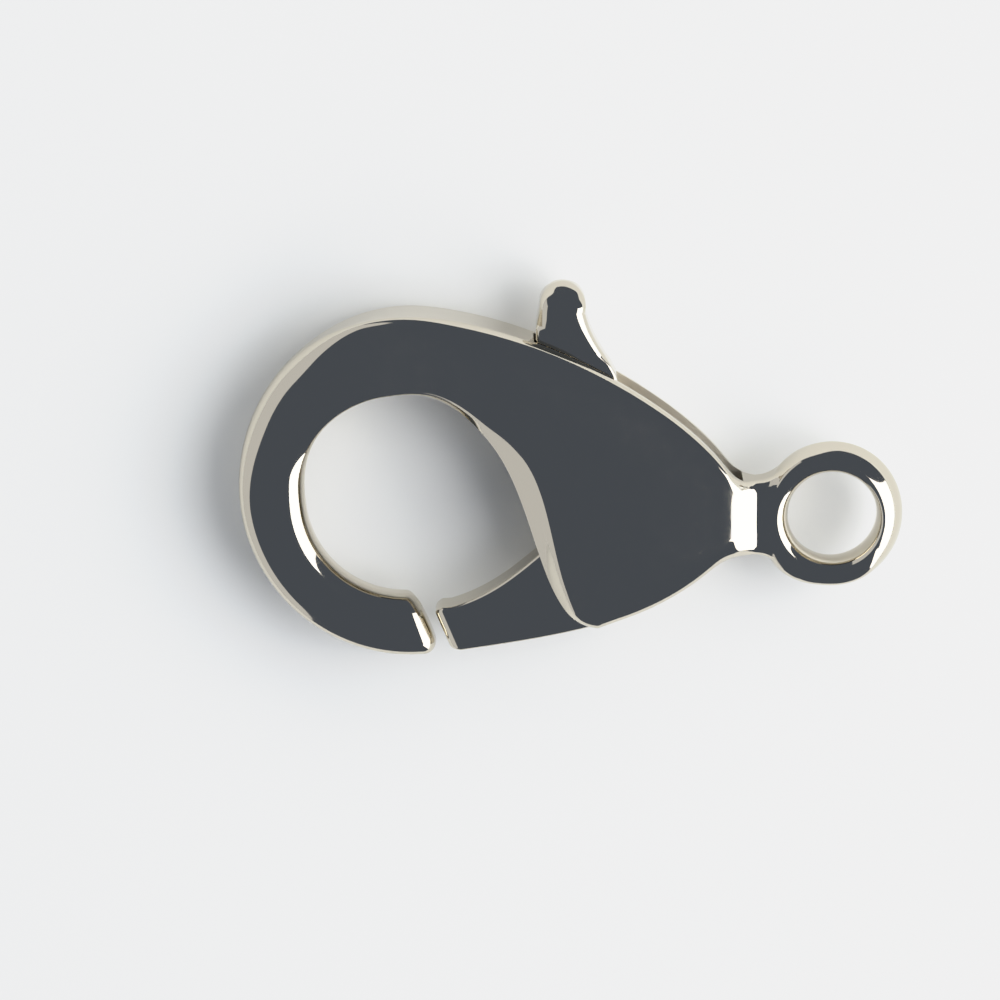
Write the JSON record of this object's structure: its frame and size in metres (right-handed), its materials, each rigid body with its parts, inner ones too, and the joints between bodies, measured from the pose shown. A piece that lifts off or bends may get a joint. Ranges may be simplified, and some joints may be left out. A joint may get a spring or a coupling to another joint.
{
  "type": "lobster clasp",
  "caption": "Lobster clasp: a round hook and slotted teardrop body in one casting with a ring eye, closed by a sprung lever with a thumb tab",
  "frame": {"origin": "Centre of the ring eye's bore, at half thickness", "axes": "+X from the hook to the ring eye, along the clasp. +Y across it, towards the thumb tab. +Z out of the front face, along the ring eye's bore"},
  "size_m": [0.0232, 0.0133, 0.0034],
  "materials": {
    "nickel_plate": "polished nickel plate on a zinc casting",
    "pin_steel": "ground steel pin",
    "spring_steel": "rolled spring strip"
  },
  "bodies": {
    "clasp_frame": {"frame": "nickel_plate", "pivot_pin": "pin_steel", "return_spring": "spring_steel"},
    "clasp_lever": {"lever": "nickel_plate"}
  },
  "joints": [
    {"name": "lever_open", "type": "hinge", "parent": "clasp_frame", "child": "clasp_lever", "pos_m": [-0.0078, -0.0013, 0], "axis": [0, 0, -1], "range_deg": [0, 22], "stiffness_Nm_per_rad": 0.046, "springref_deg": -0.57, "deforming": ["return_spring"]}
  ]
}
